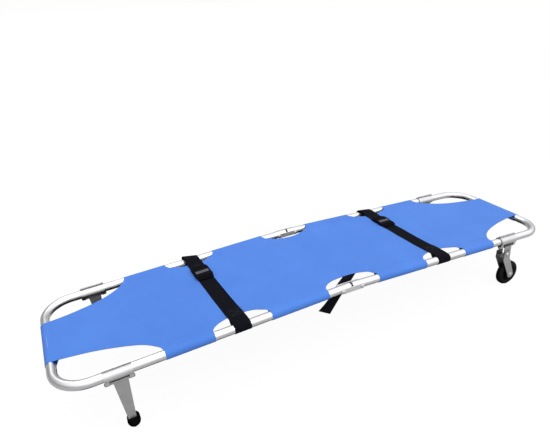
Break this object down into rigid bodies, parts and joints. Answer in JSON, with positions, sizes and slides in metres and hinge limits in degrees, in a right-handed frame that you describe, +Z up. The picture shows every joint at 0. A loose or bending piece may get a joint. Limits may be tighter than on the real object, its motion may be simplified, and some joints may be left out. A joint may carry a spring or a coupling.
{
  "type": "folding stretcher",
  "caption": "Low folding stretcher: a tubular frame hinged in the middle, canvas bed with patient straps, stands at one end and wheels at the other.",
  "frame": {"origin": "on the floor under the middle hinge, at the centre of the base", "axes": "+X along the bed towards the wheels, +Y to the left-hand rail, +Z up"},
  "size_m": [1.86, 0.5016, 0.2462],
  "materials": {
    "tube_aluminium": "drawn tube, satin anodised",
    "bracket_aluminium": "cast and tumbled",
    "plug_aluminium": "turned",
    "bright_steel": "zinc plated",
    "grey_paint": "grey powder coat",
    "rubber": "moulded, matt",
    "tyre_rubber": "solid tyre, matt",
    "wheel_plastic": "moulded",
    "buckle": "moulded, lightly textured",
    "webbing": "woven polyester webbing",
    "canvas": "coated woven nylon with sewn hems"
  },
  "bodies": {
    "stand_frame": {"stand_frame_tube": "tube_aluminium", "stand_canvas": "canvas", "stand_buckle_socket": "buckle", "stand_buckle_tongue": "buckle", "stand_strap_right": "webbing", "stand_hinge_plug_right": "plug_aluminium", "stand_leg_bracket_right": "bracket_aluminium", "stand_leg_rod_right": "bright_steel", "stand_strap_left": "webbing", "stand_hinge_plug_left": "plug_aluminium", "stand_leg_bracket_left": "bracket_aluminium", "stand_leg_rod_left": "bright_steel", "storage_strap": "webbing"},
    "hinge_links": {"stand_hinge_pin_right": "bright_steel", "stand_hinge_pin_left": "bright_steel", "wheel_hinge_pin_right": "bright_steel", "wheel_hinge_pin_left": "bright_steel", "hinge_link_outer_right": "bracket_aluminium", "hinge_link_inner_right": "bracket_aluminium", "hinge_link_outer_left": "bracket_aluminium", "hinge_link_inner_left": "bracket_aluminium"},
    "wheel_frame": {"wheel_frame_tube": "tube_aluminium", "wheel_canvas": "canvas", "wheel_buckle_socket": "buckle", "wheel_buckle_tongue": "buckle", "wheel_strap_right": "webbing", "wheel_hinge_plug_right": "plug_aluminium", "wheel_leg_bracket_right": "bracket_aluminium", "wheel_leg_rod_right": "bright_steel", "wheel_strap_left": "webbing", "wheel_hinge_plug_left": "plug_aluminium", "wheel_leg_bracket_left": "bracket_aluminium", "wheel_leg_rod_left": "bright_steel"},
    "stand_leg_right": {"stand_leg_right": "grey_paint", "rubber_foot_right": "rubber"},
    "wheel_leg_right": {"wheel_leg_right": "grey_paint", "wheel_fork_right": "grey_paint", "fork_bolt_right": "bright_steel", "axle_right": "bright_steel"},
    "wheel_right": {"tyre_right": "tyre_rubber", "wheel_hub_right": "wheel_plastic", "wheel_bush_right": "bright_steel"},
    "stand_leg_left": {"stand_leg_left": "grey_paint", "rubber_foot_left": "rubber"},
    "wheel_leg_left": {"wheel_leg_left": "grey_paint", "wheel_fork_left": "grey_paint", "fork_bolt_left": "bright_steel", "axle_left": "bright_steel"},
    "wheel_left": {"tyre_left": "tyre_rubber", "wheel_hub_left": "wheel_plastic", "wheel_bush_left": "bright_steel"}
  },
  "joints": [
    {"name": "stand_half_fold", "type": "hinge", "parent": "stand_frame", "child": "hinge_links", "pos_m": [-0.03598, 0, 0.22869], "axis": [0, 1, 0], "range_deg": [0, 87.91], "deforming": ["storage_strap"]},
    {"name": "wheel_half_fold", "type": "hinge", "parent": "hinge_links", "child": "wheel_frame", "pos_m": [0.03598, 0, 0.22869], "axis": [0, 1, 0], "range_deg": [0, 87.91]},
    {"name": "stand_leg_fold_right", "type": "hinge", "parent": "stand_frame", "child": "stand_leg_right", "pos_m": [-0.75269, -0.2345, 0.18032], "axis": [0.9993, 0, 0.0365], "range_deg": [0, 90]},
    {"name": "wheel_leg_fold_right", "type": "hinge", "parent": "wheel_frame", "child": "wheel_leg_right", "pos_m": [0.71371, -0.2345, 0.18174], "axis": [0.9993, 0, -0.0365], "range_deg": [0, 90]},
    {"name": "wheel_spin_right", "type": "hinge", "parent": "wheel_leg_right", "child": "wheel_right", "pos_m": [0.74793, -0.2285, 0.05], "axis": [0, 1, 0], "continuous": true},
    {"name": "stand_leg_fold_left", "type": "hinge", "parent": "stand_frame", "child": "stand_leg_left", "pos_m": [-0.75269, 0.2345, 0.18032], "axis": [-0.9993, 0, -0.0365], "range_deg": [0, 90]},
    {"name": "wheel_leg_fold_left", "type": "hinge", "parent": "wheel_frame", "child": "wheel_leg_left", "pos_m": [0.71371, 0.2345, 0.18174], "axis": [-0.9993, 0, 0.0365], "range_deg": [0, 90]},
    {"name": "wheel_spin_left", "type": "hinge", "parent": "wheel_leg_left", "child": "wheel_left", "pos_m": [0.74793, 0.2285, 0.05], "axis": [0, 1, 0], "continuous": true}
  ],
  "couplings": [
    {"joint": "wheel_half_fold", "follows": "stand_half_fold", "ratio": 1},
    {"joint": "stand_leg_fold_right", "follows": "stand_half_fold", "ratio": 1.0238},
    {"joint": "wheel_leg_fold_right", "follows": "stand_half_fold", "ratio": 1.0238},
    {"joint": "stand_leg_fold_left", "follows": "stand_half_fold", "ratio": 1.0238},
    {"joint": "wheel_leg_fold_left", "follows": "stand_half_fold", "ratio": 1.0238}
  ]
}
